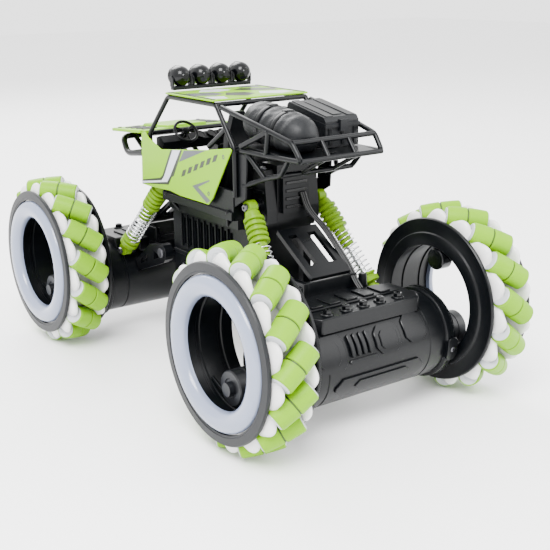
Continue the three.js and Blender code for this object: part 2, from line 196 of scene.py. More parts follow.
def cyl(name, a, b, r, mat, body, segs=28, edge=0.4, r1=None):
    """Round bar from a to b with eased ends, tapering to r1 where it is given."""
    a, b = Vector(a), Vector(b)
    h = (b - a).length
    r1 = r if r1 is None else r1
    prof = [(0, 0), (r - edge, 0), (r, edge), (r1, h - edge), (r1 - edge, h), (0, h)]
    return turned(name, prof, a, b - a, mat, body, segs)


def slab(name, outline, axis, a0, a1, mat, body, bevel=0.35):
    """Flat plate with a 2-D outline, thick along the named axis."""
    put = {"x": lambda p, a: (a, p[0], p[1]), "y": lambda p, a: (p[0], a, p[1]), "z": lambda p,
           a: (*p, a)}[axis]
    n = len(outline)
    verts = [put(p, a0) for p in outline] + [put(p, a1) for p in outline]
    faces = [tuple(range(n)), tuple(range(2 * n - 1, n - 1, -1))]
    faces += [(i, (i + 1) % n, n + (i + 1) % n, n + i) for i in range(n)]
    return make(name, verts, faces, mat, body, 32, bevel)


def block(name, low, high, mat, body, bevel=0.5):
    outline = [(low[0], low[1]), (high[0], low[1]), (high[0], high[1]), (low[0], high[1])]
    return slab(name, outline, "z", low[2], high[2], mat, body, bevel)


def rounded(points, bend):
    """The run of points with each corner eased over the length bend."""
    pts = [Vector(p) for p in points]
    out = [pts[0]]
    for a, b, c in zip(pts, pts[1:], pts[2:]):
        d0 = min(bend, (a - b).length / 2.1)
        d1 = min(bend, (c - b).length / 2.1)
        s = b + (a - b).normalized() * d0
        e = b + (c - b).normalized() * d1
        for i in range(6):
            t = i / 5
            out.append(s * (1 - t) ** 2 + b * 2 * t * (1 - t) + e * t * t)
    return out + [pts[-1]]


def pipes(name, runs, r, mat, body, bend=3.0, sides=5):
    """Round bar bent along each run of points."""
    data = bpy.data.curves.new(name, "CURVE")
    data.dimensions = "3D"
    data.bevel_depth = r * MM
    data.bevel_resolution = sides
    data.use_fill_caps = True
    for run in runs:
        pts = rounded(run, bend)
        line = data.splines.new("POLY")
        line.points.add(len(pts) - 1)
        for q, p in zip(line.points, pts):
            q.co = (*(p * MM), 1)
    temp = bpy.data.objects.new(name + "_curve", data)
    me = bpy.data.meshes.new_from_object(temp)
    me.name = name
    bpy.data.objects.remove(temp)
    me.materials.clear()
    return finish_mesh(name, me, [mat], body, 40)


def hex_bolt(name, at, axis, r, h, mat, body):
    """Bolt head with six sides and a sunken middle."""
    u, v, w = basis(axis)
    o = Vector(at)
    verts = []
    for rr, hh in ((r, 0), (r, h * 0.75), (r * 0.82, h), (r * 0.4, h), (r * 0.34, h * 0.55)):
        for j in range(6):
            a = math.pi * j / 3
            verts.append(tuple(o + w * hh + (u * math.cos(a) + v * math.sin(a)) * rr))
    faces = ring_faces(5, 6) + [tuple(range(5, -1, -1)), tuple(range(24, 30))]
    return make(name, verts, faces, mat, body, 25)


def screw(name, at, axis, r, mat, body):
    """Round screw head with a hole for the driver."""
    prof = [(0, -0.4), (r, -0.4), (r, 0.2), (r * 0.8, 0.55), (r * 0.42, 0.6), (r * 0.4, 0.05), (0, 0.0)]
    return turned(name, prof, at, axis, mat, body, 24)


# ---- wheels -----------------------------------------------------------------

WHEEL_Y = 118
WHEEL_Z = 60
TREAD_X = 82.3
COUNT = 15
SEAT_R = 52.4
REACH = 59.7
ROLLER_HALF = 12.6
SEAM_HALF = 0.45
DRUM_R = 34.6
MOTOR_Z = -22.5
SKEW = math.radians(38)


def roller_mesh():
    """One roller: two barrel halves with a seam and a pale bush at each end."""
    green = []
    for s in (SEAM_HALF, 0.8, 2.5, 5, 7.5, 10, 12.0, ROLLER_HALF):
        ease = {SEAM_HALF: 0.35, ROLLER_HALF: 0.5}.get(s, 0.0)
        green.append((REACH - math.hypot(SEAT_R, s * math.sin(SKEW)) - ease, s))
    half = [(0, SEAM_HALF)] + green + [(0, ROLLER_HALF)]
    core = [(0, -0.6), (6.6, -0.6), (6.6, 0.6), (0, 0.6)]
    bush = [(0, 12.5), (5.9, 12.5), (5.9, 12.9), (5.5, 13.2), (3.0, 13.2), (2.8, 12.9), (0, 12.9)]

    def other(prof):
        return [(r, -s) for r, s in prof]

    verts, faces, slots = [], [], []
    for prof, slot in ((half, 0), (other(half), 0), (core, 1), (bush, 2), (other(bush), 2)):
        v, f = turned_data(prof, (0, 0, 0), (0, 0, 1), 28, False)
        base = len(verts)
        verts += v
        faces += [tuple(base + i for i in q) for q in f]
        slots += [slot] * len(f)
    me = raw_mesh("roller", verts, faces)
    me.polygons.foreach_set("material_index", slots)
    dress(me, (ROLL, SEAM, CAPW))
    return me


ROLLER = roller_mesh()


def crown(name, side, skew, put, body):
    """Scalloped side of the roller carrier; side is 1 outboard and -1 inboard."""
    inner = [(5.6, 41.5), (5.6, 46), (8.0, 48.5)]
    waved = [(8.8, -3.0), (9.2, -1.2), (9.9, -0.3), (10.8, 0), (11.8, -0.3), (12.6, -1.1), (13.1, -2.2),
             (13.5, -3.6)]
    outer = [(13.8, 49.4), (13.9, 46), (12.6, 41.5)]
    section = [(dx, r, moves) for run, moves in ((inner, 0), (waved, 1), (outer, 0)) for dx, r in run]
    segs = 300
    valley, lobe_height, lean_at_9 = 52.4, 4.8, 13.6
    verts = []
    for dx, r, moves in section:
        for j in range(segs):
            a = 2 * math.pi * j / segs
            lean = side * skew * math.radians(lean_at_9 + 0.5 * (dx - 9))
            phase = COUNT * (a + math.pi / 2 - lean)
            lobe = ((1 + math.cos(phase)) / 2) ** 1.1
            rr = valley + lobe_height * lobe + r if moves else r
            dip = (1 - lobe) * (0.8 if moves and dx > 10.5 else 0.0)
            x = TREAD_X + side * (dx - dip)
            verts.append(put(x, rr * math.cos(a), rr * math.sin(a)))
    return make(name, verts, ring_faces(len(section), segs, True), WHITE, body, 50)


def wheel(end, skew):
    """One wheel with its hub; skew is 1 or -1 for the lean of the rollers."""
    left = end[1] == "l"
    front = end[0] == "f"
    yc = -WHEEL_Y if front else WHEEL_Y
    s = 1 if left else -1
    axle = "front_axle" if front else "rear_axle"
    body = "wheel_" + end

    def put(x, y, z):
        return (s * x, yc + s * y, WHEEL_Z + z)

    hub = put(0, 0, 0)
    out = (s, 0, 0)

    def ring(name, prof, mat, to, segs=96, sharp=32):
        return turned(f"{name}_{end}", prof, hub, out, mat, to, segs, True, sharp)

    o = crown(f"carrier_outer_{end}", 1, skew, put, body)
    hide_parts(f"roller_carrier_{end}")
    crown(f"carrier_inner_{end}", -1, skew, put, body)
    ring("carrier_barrel", [(39.7, 70), (41.8, 70), (41.8, 94.4), (39.7, 94.4)], WHITE, body)
    turn = Matrix.Identity(4) if left else Matrix.Rotation(math.pi, 4, "Z")
    shift = Matrix.Translation(Vector((0, yc, WHEEL_Z)) * MM)
    for k in range(COUNT):
        a = -math.pi / 2 + 2 * math.pi * k / COUNT
        along = Vector((math.cos(SKEW), -skew * math.sin(SKEW) * math.sin(a),
                        skew * math.sin(SKEW) * math.cos(a)))
        at = Vector((TREAD_X, SEAT_R * math.cos(a), SEAT_R * math.sin(a))) * MM
        spin = Vector((0, 0, 1)).rotation_difference(along).to_matrix().to_4x4()
        shape = ROLLER.copy()
        shape.transform(shift @ turn @ Matrix.Translation(at) @ spin)
        roller = bpy.data.objects.new(f"roller_{end}_{k:02d}", shape)
        bpy.context.scene.collection.objects.link(roller)
        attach(roller, body)
        if k == 0:
            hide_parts(f"roller_set_{end}")
    rim = ring("rim", [(45.2, 96.4), (51.2, 96.4), (51.6, 96.9), (51.6, 98.1), (51.0, 98.9), (46.6, 99.1),
                       (46.2, 98.7),
                       (45.2, 98.5)], RIM, body, 128)
    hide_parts(f"rim_ring_{end}")
    prof = [(32.2, 95.3), (44.3, 95.3), (44.4, 97.6), (43.9, 99.1), (42.6, 100.4), (40.6, 101.3),
            (38.2, 101.5),
            (35.8, 101.1), (33.8, 100.0), (32.5, 98.3), (32.1, 96.6)]
    lit = ring("light", prof, LIGHT, axle, 128, 60)
    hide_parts(f"light_ring_{end}")
    prof = [(34.9, 63.2), (35.5, 62.7), (41.6, 62.7), (42.6, 63.1), (43.2, 64.2), (43.6, 64.4),
            (51.4, 64.4), (52, 65),
            (52, 66.4), (51.5, 66.9), (38.4, 66.9), (38, 67.4), (37.9, 94.6), (34.9, 94.6), (34.9, 88.4),
            (35.7, 87.8),
            (35.7, 86), (34.9, 85.4), (34.9, 73.6), (35.7, 73), (35.7, 71.2), (34.9, 70.6)]
    drum = ring("drum", prof, BLACK, axle, 96)
    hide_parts(f"hub_drum_{end}")
    can = turned(f"motor_{end}", [(0, 62.7), (9.8, 62.7), (10.5, 63.4), (10.5, 68), (10.1, 68.3),
                                  (10.1, 69.2),
                                  (10.5, 69.5), (10.5, 80), (10.1, 80.3), (10.1, 81.2), (10.5, 81.5),
                                  (10.5, 87.3),
                                  (9.8, 88), (6, 88), (5.6, 87.4), (4.2, 87.4), (4, 91), (0, 91)],
                 put(0, 0, MOTOR_Z), out, MOTOR, axle, 40)
    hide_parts(f"hub_motor_{end}")
    for i in range(3):
        a = math.radians(-90 + 45 * (i - 1))
        wide = 15 if i == 1 else 20
        bars = [[put(x, DRUM_R * math.cos(a), DRUM_R * math.sin(a)),
                 put(x, wide * math.cos(a), MOTOR_Z + 9 * math.sin(a))]
                for x in (66, 84)]
        pipes(f"motor_brace_{end}_{i}", bars, 1.1, BLACK, axle)
    turned(f"guide_cap_{end}", [(0, 62.9), (6.2, 62.9), (6.8, 63.4), (6.8, 71), (6.2, 71.6), (3, 71.6),
                                (2.6, 71), (0, 71)],
           put(0, -4.5, 27.4), out, GLOSS, axle, 32)
    screw(f"hub_screw_{end}", put(62.7, 0, -44.6), (-s, 0, 0), 1.8, SCREW, axle)


for tag, skew_sign in (("fl", 1), ("fr", -1), ("rl", -1), ("rr", 1)):
    wheel(tag, skew_sign)

# ---- axles --------------------------------------------------------------------

AXLE_Z = 41
BARREL_R = 27


def axle_parts(end):
    """Housing, pads, bolts, bracket and posts of one axle, laid out for the rear and turned for the front."""
    s = 1 if end == "rear" else -1
    body = end + "_axle"

    def P(x, y, z):
        return (s * x, s * y, z)

    def blk(name, low, high, mat=BLACK, bevel=0.6):
        a, b = P(*low), P(*high)
        return block(f"{name}_{end}", [min(p, q) for p, q in zip(a, b)], [max(p, q) for p, q in zip(a, b)],
                     mat, body,
                     bevel)

    half = [(0, 62.1), (25.4, 62.1), (26, 61.5), (26, 58.4), (28.4, 58.2), (29, 57.6), (29, 55.9),
            (28.2, 55.6),
            (28.2, 54.6), (29, 54.3), (29, 52.6), (28.4, 52), (27, 51.6), (27, 40), (26.5, 39.6),
            (26.5, 38.8),
            (27, 38.4)]
    prof = [(r, -x) for r, x in half] + [(27, 0)] + [(r, x) for r, x in reversed(half)]
    barrel = turned(f"axle_barrel_{end}", prof, (0, s * WHEEL_Y, AXLE_Z), (1, 0, 0), BLACK, body, 80)
    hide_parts(f"axle_housing_{end}")

    def pad(name, x0, x1, a0, a1, rise, cut=3.0):
        """Raised pad on the barrel, with its corners cut off."""
        spots = []
        n = 10
        for i in range(n + 1):
            a = math.radians(a0 + (a1 - a0) * i / n)
            arc = BARREL_R * abs(math.radians(a1 - a0))
            inset = max(0.0, cut - arc * i / n, cut - arc * (n - i) / n)
            spots.append((a, x0 + inset, x1 - inset))
        verts = []
        for rr, shrink in ((BARREL_R - 0.4, 0), (BARREL_R + rise - 0.3, 0), (BARREL_R + rise, 0.4)):
            for a, xa, xb in spots:
                verts.append(P(xa + shrink, WHEEL_Y + rr * math.cos(a), AXLE_Z + rr * math.sin(a)))
            for a, xa, xb in reversed(spots):
                verts.append(P(xb - shrink, WHEEL_Y + rr * math.cos(a), AXLE_Z + rr * math.sin(a)))
        m = 2 * (n + 1)
        faces = ring_faces(3, m)
        for base in (0, 2 * m):
            for i in range(n):
                faces.append((base + i, base + i + 1, base + m - 2 - i, base + m - 1 - i))
        return make(f"{name}_{end}", verts, faces, BLACK, body, 28)

    pad("pad_left", 26, 50, 4, 48, 1.4)
    pad("pad_left_step", 31, 46, 12, 38, 2.2, 2.0)
    for i in range(4):
        pad(f"rib_{i}", 6.5 + i * 4.4, 9.3 + i * 4.4, 16, 44, 2.0, 0.8)
    pad("rib_bar", 2, 24, 8, 13, 1.0, 1.0)
    pad("pad_mid", -16, 3, 10, 46, 1.4, 4.0)
    pad("pad_mid_step", -13, 0, 16, 38, 2.2, 2.0)
    pad("pad_right", -37, -20, 14, 52, 1.2, 4.0)
    pad("pad_low", -34, 34, -34, -8, 1.2, 5.0)
    pad("pad_low_step", -22, 20, -28, -14, 2.0, 3.0)
    for side in (-1, 1):
        pad(f"collar_lug_{side}", side * 55.5 - 4, side * 55.5 + 4, -22, 6, 3.4, 1.5)
        screw(f"collar_screw_{end}_{side}", P(side * 55.5, WHEEL_Y + 30.2 * math.cos(-0.14), AXLE_Z - 4),
              P(0, 1, -0.14), 1.7,
              SCREW, body)
    edge = [(-42, 104), (-42, 128), (-37, 135.8), (37, 135.8), (42, 128), (42, 104), (28, 102), (28, 92.4),
            (-28, 92.4),
            (-28, 102)]
    flip = [(s * x, s * y) for x, y in edge]
    slab(f"axle_top_{end}", flip, "z", 62, 71.9, BLACK, body, 0.8)
    for i, x in enumerate((29, 15, 2, -11, -25)):
        turned(f"top_boss_{end}_{i}", [(0, 0), (3.9, 0), (3.9, 0.5), (3.3, 1.1), (0, 1.1)], P(x, 130, 71.8),
               (0, 0, 1),
               BLACK, body, 28)
        hex_bolt(f"top_bolt_{end}_{i}", P(x, 130, 72.8), (0, 0, 1), 2.6, 2.5, GLOSS, body)
    blk("top_step", (-34, 106, 71.6), (34, 122, 73.2))
    for i in range(5):
        blk(f"top_fin_{i}", (-28 + i * 13, 107.5, 73), (-20 + i * 13, 120.5, 74.2), BLACK, 0.4)
    blk("bracket_floor", (-20.5, 80.2, 62), (20.5, 98, 70))
    blk("bracket_left", (17, 80.2, 69.6), (20.5, 98, 80.8), BLACK, 0.4)
    blk("bracket_right", (-20.5, 80.2, 69.6), (-17, 98, 80.8), BLACK, 0.4)
    blk("bracket_back", (-17.4, 95, 69.6), (17.4, 98, 80.8), BLACK, 0.4)
    for side in (-1, 1):
        cyl(f"shock_post_{end}_{side}", P(side * 25, 98, 71.6), P(side * 25, 98, 79.8), 3.1, BLACK, body,
            24, 0.5, 2.6)
        cyl(f"shock_stay_{end}_{side}", P(side * 30.4, 95.4, 63), P(side * 34.2, 95.1, 64.6), 2.6, BLACK,
            body, 20)
        hex_bolt(f"eye_bolt_{end}_{side}", P(side * 42.0, 95, 64.4), P(side, 0, -0.15), 2.4, 1.6, SCREW,
                 body)
        cyl(f"pivot_bolt_{end}_{side}", P(side * 32.3, 52, 70), P(side * 34, 52, 70), 3.4, SCREW, body, 24)


axle_parts("rear")
axle_parts("front")

# ---- shocks -------------------------------------------------------------------


SHOCK_TOP = Vector((27, 52, 120.7))
SHOCK_LOW = Vector((38, 95, 65))


def shock(end):
    """Ribbed can, shaft and coil spring between the tower and the axle."""
    m = Vector((1 if end[1] == "l" else -1, 1 if end[0] == "r" else -1, 1))
    top = SHOCK_TOP * m
    low = SHOCK_LOW * m
    up = (top - low).normalized()
    size = (top - low).length
    seat = size - 25
    prof = [(0, seat + 8), (2.15, seat + 8), (2.15, seat - 13), (3.8, seat - 13), (4.2, seat - 12.5),
            (4.2, seat)]
    z = seat
    while z < size - 8:
        prof += [(6.2, z), (6.6, z + 0.4), (6.6, z + 1.9), (6.2, z + 2.3), (5.1, z + 2.6), (5.1, z + 3.6)]
        z += 3.7
    prof += [(4.6, size - 4), (3.6, size - 3), (3.4, size - 0.5), (0, size - 0.5)]
    o = turned(f"shock_can_{end}", prof, low, up, SHOCK, f"shock_upper_{end}", 36)
    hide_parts(f"shock_body_{end}")
    x = Vector((1, 0, 0))
    cyl(f"shock_eye_top_{end}", top - x * 3, top + x * 3, 4.4, SHOCK, f"shock_upper_{end}", 28)
    sx = m[0]
    hex_bolt(f"eye_bolt_top_{end}", top + x * 3 * sx, x * sx, 2.5, 2.2, SCREW, f"shock_upper_{end}")
    prof = [(0, 1), (3.5, 2), (3.5, 5), (6.4, 5.7), (6.8, 6.1), (6.8, 8.6), (6.4, 9), (5.4, 9.3),
            (5.4, 10.4), (6.6, 10.7),
            (6.6, 11.8), (6.2, 12), (1.8, 12), (1.8, seat + 3), (0, seat + 3)]
    o = turned(f"shock_shaft_{end}", prof, low, up, SHOCK, f"shock_lower_{end}", 36)
    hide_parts(f"shock_rod_{end}")
    turned(f"shock_pin_{end}", [(1.82, 12.05), (1.95, 12.05), (1.95, seat - 13.6), (1.82, seat - 13.6)],
           low, up, STEEL,
           f"shock_lower_{end}", 24, True)
    cyl(f"shock_eye_low_{end}", low - x * 3, low + x * 3, 4.5, SHOCK, f"shock_lower_{end}", 28)
    u, v, w = basis(up)
    turns = 10
    steps = turns * 26
    line = []
    for i in range(steps + 1):
        t = i / steps
        a = 2 * math.pi * turns * t
        h = 12.7 + (seat - 1.4 - 12.7) * t
        line.append(tuple(low + w * h + (u * math.cos(a) + v * math.sin(a)) * 5.5))
    verts, rad, sides = [], 0.5, 8
    for i, p in enumerate(line):
        a = 2 * math.pi * turns * i / steps
        out = u * math.cos(a) + v * math.sin(a)
        for j in range(sides):
            b = 2 * math.pi * j / sides
            verts.append(tuple(Vector(p) + out * rad * math.cos(b) + w * rad * math.sin(b)))
    faces = ring_faces(len(line), sides)
    faces += [tuple(range(sides)), tuple(range(len(verts) - 1, len(verts) - 1 - sides, -1))]
    coil = make(f"coil_{end}", verts, faces, STEEL, f"shock_upper_{end}", 60)
    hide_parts(f"shock_spring_{end}")
    tuple(w)
    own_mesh(coil)


for tag in ENDS:
    shock(tag)

# ---- cage and rack ---------------------------------------------------------------

CAGE_X = 34.6
CAGE = [
    [(CAGE_X, -57, 134), (CAGE_X, -57, 154.5), (CAGE_X, -30.5, 181.6), (CAGE_X, 27.4, 181.6),
     (CAGE_X, 47, 156.6),
     (CAGE_X, 47, 127)],
    [(CAGE_X, 27.4, 181.6), (CAGE_X, 38, 168), (CAGE_X, 18, 154.6)],
]
RACK = [
    [(34.4, 33, 180.6), (34, 63, 175), (31, 100, 166.5), (30.3, 107.6, 156.8), (32, 76, 156.2),
     (33.8, 53, 156.5)],
    [(33, 80, 171), (34.2, 53, 159.2)],
    [(33, 80, 171), (32, 76, 156.2)],
    [(32.8, 53, 134.6), (28, 69, 141), (27, 84, 145), (28, 94, 156.6)],
    [(28, 69, 141), (33, 56, 156.4)],
]


def both(runs):
    """The runs of points, then their mirror images."""
    return runs + [[(-x, y, z) for x, y, z in run] for run in runs]


cross = [[(-CAGE_X, y, z), (CAGE_X, y, z)] for y,
         z in ((-57, 154.5), (-30.5, 181.6), (27.4, 181.6), (47, 156.6))]
cage = pipes("cage_tubes", both(CAGE) + cross, 1.6, BLACK, "chassis", 3.0)
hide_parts("roll_cage")
bars = [[(-x, y, z), (x, y, z)] for x, y, z in ((31, 100, 166.5), (30.3, 107.6, 156.8), (27, 84, 145),
                                                (32, 76, 156.2))]
rack = pipes("rack_tubes", both(RACK) + bars, 1.6, BLACK, "chassis", 3.0)
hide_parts("rear_rack")
posts = [[(x, 100, 166.5), (x, 107.6, 156.8)] for x in (-10, 10)] + [[(x, 84, 145),
                                                                      (x, 107.6, 156.8)] for x in (-12, 12)]
pipes("rack_posts", posts, 1.3, BLACK, "chassis")
slab("rack_deck", [(51, 157.4), (104, 155.5), (104, 157.4), (51, 159.2)], "x", -31, 31, BLACK, "chassis")
for i in range(7):
    slab(f"rack_slat_{i}", [(58 + i * 6.6, 159.05 - i * 0.22), (60 + i * 6.6, 158.98 - i * 0.22),
                            (60 + i * 6.6, 159.6 - i * 0.22), (58 + i * 6.6, 159.7 - i * 0.22)], "x", -1.9,
                            1.9, BLACK,
         "chassis", 0.15)
bumper = pipes("bumper_hoop", [[(34, -62.5, 140), (34, -92, 136), (30, -106, 146), (-30, -106, 146),
                                (-34, -92, 136),
                                (-34, -62.5, 140)]], 2.2, BLACK, "chassis", 6)
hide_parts("front_bumper")
pipes("bumper_stays", both([[(20, -64, 120), (20, -98, 140.5), (20, -106, 146)]]), 1.8, BLACK, "chassis")
pipes("bumper_bars", [[(-33, -64, 120), (33, -64, 120)], [(-33, -92, 136), (33, -92, 136)]], 1.8, BLACK,
      "chassis")

# ---- doors, hood, roof ---------------------------------------------------------------

DOOR = [(-63.8, 154), (-65.8, 118.2), (-54.5, 117), (-27.1, 119.3), (-14.3, 116.8), (20, 118),
        (25.4, 122.7), (48, 156.4),
        (45.9, 157.4), (20, 153.1), (-38, 146), (-54.5, 152), (-58.1, 155)]
DOOR = [(y, max(z, 118)) for y, z in DOOR]
MARKS = [
    ("stripe_edge", DECAL_DARK, [(-24.6, 147.4), (-9.6, 149.1), (-21.4, 130.4), (-24.2, 129.2),
                                 (-28.6, 123.4),
                                 (-65.4, 118.6), (-65.2, 121.4), (-39.9, 126.4), (-36.6, 128.6)]),
    ("stripe", DECAL_WHITE, [(-22.0, 147.6), (-12.1, 148.8), (-26.3, 129.6), (-30.5, 125.0), (-65.3, 119.0),
                             (-65.2, 120.3), (-38.0, 124.9), (-34.4, 128.2)]),
    ("wedge", DECAL_GREY, [(-7.4, 149.2), (19.6, 152.7), (-14.4, 140.6)]),
    ("chevron", DECAL_GREY, [(22.2, 134.4), (1.5, 127.4), (18.6, 118.9), (23.2, 121.0), (8.8, 127.7),
                             (23.2, 133.8)]),
]
for i in range(6):
    y0 = -12 + i * 7.6
    z0 = 131.2 + i * 2.95
    MARKS.append((f"slash_{i}", DECAL_DARK, [(y0, z0), (y0 + 4.6, z0 + 1.5), (y0 + 7.2, z0 + 6.2),
                                             (y0 + 2.6, z0 + 4.8)]))
LINER = [(-56, 141), (-57, 121), (-20, 121), (18, 121), (44, 155), (18, 151), (-36, 144)]
for side, tag in ((1, "left"), (-1, "right")):
    a, b = sorted((side * 36.5, side * 36.35))
    slab(f"door_liner_{tag}", LINER, "x", a, b, SATIN, "chassis", 0)
    a, b = sorted((side * 33.4, side * 32.2))
    slab(f"quarter_{tag}", [(42, 119), (56, 127), (58, 154.4), (45, 154.4)], "x", a, b, SATIN, "chassis",
         0.3)
    a, b = sorted((side * 36.6, side * 37.85))
    o = slab(f"door_skin_{tag}", DOOR, "x", a, b, LIME, "chassis", 0.5)
    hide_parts(f"door_{tag}")
    for mark, mat, outline in MARKS:
        lift = 0.03 if mark == "stripe_edge" else 0.06
        a, b = sorted((side * 37.7, side * (37.86 + lift)))
        slab(f"door_{mark}_{tag}", outline, "x", a, b, mat, "chassis", 0)
    for n, (y, z) in enumerate(((39, 151.2), (21.2, 125.4))):
        screw(f"door_screw_{tag}_{n}", (side * 37.4, y, z), (side, 0, 0), 1.7, SCREW, "chassis")
slope = slab("hood_skin", [(-108, 150.4), (-66.6, 153.4), (-66.6, 155.6), (-108, 152.6)], "x", -37.6, 37.6,
             LIME, "chassis",
             0.6)
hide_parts("hood_panel")
slab("hood_neck", [(-66.7, 153.3), (-60.8, 153.8), (-60.8, 156), (-66.7, 155.6)], "x", -36, 36, LIME,
     "chassis", 0.3)
slab("hood_rib", [(-104, 151.8), (-64, 154.6), (-64, 157.4), (-100, 154.9)], "x", -16, 16, LIME, "chassis",
     1.2)
for side in (-1, 1):
    for n in range(4):
        y = -98 + n * 8.0
        z = 153.2 + (y + 108) * 0.0725
        slab(f"hood_vent_{side}_{n}", [(side * 21, y), (side * 33, y + 2), (side * 33, y + 5),
                                       (side * 21, y + 3)], "z",
             z - 0.9, z + 0.15, SATIN, "chassis", 0.15)
    screw(f"hood_screw_{side}", (side * 33, -104, 152.9), (0, -0.07, 1), 1.6, SCREW, "chassis")
roof = slab("roof_skin", [(-36.8, -30.5), (36.8, -30.5), (36.8, 27.4), (-36.8, 27.4)], "z", 183.4, 184.6,
            LIME, "chassis",
            0.4)
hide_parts("roof_panel")
ROOF = [
    (DECAL_DARK, [(-34, -8), (-14, -18), (-4, -12), (-16, -2), (-30, 4)]),
    (DECAL_WHITE, [(-2, -24), (12, -26), (20, -16), (8, -10), (-4, -14)]),
    (DECAL_GREY, [(14, -8), (32, -14), (34, 0), (22, 8), (12, 2)]),
    (DECAL_WHITE, [(-30, 10), (-14, 4), (-8, 14), (-20, 22), (-32, 18)]),
    (DECAL_DARK, [(-4, 2), (8, -2), (16, 10), (6, 20), (-6, 12)]),
    (DECAL_WHITE, [(20, 14), (32, 10), (33, 22), (24, 25)]),
    (DECAL_GREY, [(-34, -27), (-20, -28), (-16, -22), (-30, -16)]),
]
for n, (mat, outline) in enumerate(ROOF):
    slab(f"roof_patch_{n}", outline, "z", 184.4, 184.66, mat, "chassis", 0)
for side in (-1, 1):
    slab(f"roof_rail_{side}", [(-29, 184.4), (26, 184.4), (26, 184.88), (-29, 184.88)], "x", side * 35 - 1,
         side * 35 + 1,
         BLACK, "chassis", 0.2)

# ---- lamps -----------------------------------------------------------------------------

bar = block("lamp_rail", (-31, -33.4, 185.4), (31, -29, 188), BLACK, "chassis", 0.6)
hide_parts("lamp_bar")
for n, x in enumerate((-24, -8, 8, 24)):
    shell = [(0, -5.2), (5.7, -5.2), (5.9, -6.3), (6.5, -6.4), (6.7, -6.1), (6.7, -4.6), (6.4, -4.3),
             (6.4, -3.9),
             (6.7, -3.6), (6.7, -0.6), (6.3, 1.5), (5.4, 3.4), (4.1, 4.8), (2.6, 5.6), (2.4, 5.5), (1.9, 6),
             (0, 6)]
    turned(f"lamp_{n}", shell, (x, -31, 194.2), (0, 1, 0), GLOSS, "chassis", 48)
    lens = [(0, -6.0), (3, -5.9), (5.2, -5.5), (5.6, -5.0), (0, -4.9)]
    turned(f"lamp_lens_{n}", lens, (x, -31, 194.2), (0, 1, 0), LIGHT, "chassis", 40)
    cyl(f"lamp_stem_{n}", (x, -31, 187.8), (x, -31, 189.6), 2.2, BLACK, "chassis", 20, 0.3, 1.9)
    for side in (-1, 1):
        slab(f"lamp_ear_{n}_{side}", [(-33.4, 187.6), (-29.4, 187.6), (-29.4, 193), (-31.4, 195),
                                      (-33.4, 193)], "x",
             x + side * 6.8 - 0.5, x + side * 6.8 + 0.5, BLACK, "chassis", 0.2)

# ---- cabin ------------------------------------------------------------------------------

spoke_at = Vector((15, -42, 155.6))
tilt = Matrix.Rotation(-math.pi / 2 + 0.75, 3, "X")


def steering():
    """Steering wheel with three spokes and a hub."""
    turns, verts = 56, []
    for i in range(turns):
        a = 2 * math.pi * i / turns
        for j in range(12):
            b = 2 * math.pi * j / 12
            r = 8.2 + 1.0 * math.cos(b)
            verts.append(tuple(spoke_at + tilt @ Vector((r * math.cos(a), r * math.sin(a),
                                                         1.0 * math.sin(b)))))
    o = make("wheel_rim", verts, ring_faces(turns, 12, True), SATIN, "chassis", 60)
    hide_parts("steering_wheel")
    runs = []
    for k in range(3):
        a = math.pi / 2 + k * 2 * math.pi / 3
        runs.append([tuple(spoke_at), tuple(spoke_at + tilt @ Vector((7.9 * math.cos(a), 7.9 * math.sin(a),
                                                                      0)))])
    pipes("wheel_spokes", runs, 0.8, SATIN, "chassis")
    turned("wheel_hub", [(0, -4.4), (2.3, -4.4), (2.3, -0.4), (2.7, 0), (2.5, 0.8), (0, 1.0)], spoke_at,
           tilt @ Vector((0, 0, 1)), GLOSS, "chassis", 28)


steering()
for n, x in enumerate((-18, -9, 0)):
    turned(f"gauge_{n}", [(0, 0), (3.4, 0), (3.4, 0.8), (3.0, 1.0), (2.8, 0.5), (0, 0.5)],
           (x, -47.6, 151.2),
           (0, 0.62, 0.78), GLOSS, "chassis", 28)
for side in (-1, 1):
    for k in range(4):
        z = 136 + k * 9
        w = 9.4 - max(0, z - 150) * 0.22
        slab(f"seat_roll_{side}_{k}", [(side * 17 - w, z), (side * 17 + w, z), (side * 17 + w * 0.9, z + 6),
                                       (side * 17 - w * 0.9, z + 6)], "y", 21.2, 22.3, SATIN, "chassis",
                                       0.5)

# ---- cargo ---------------------------------------------------------------------------------


STRAPS = (0.27, 0.73)


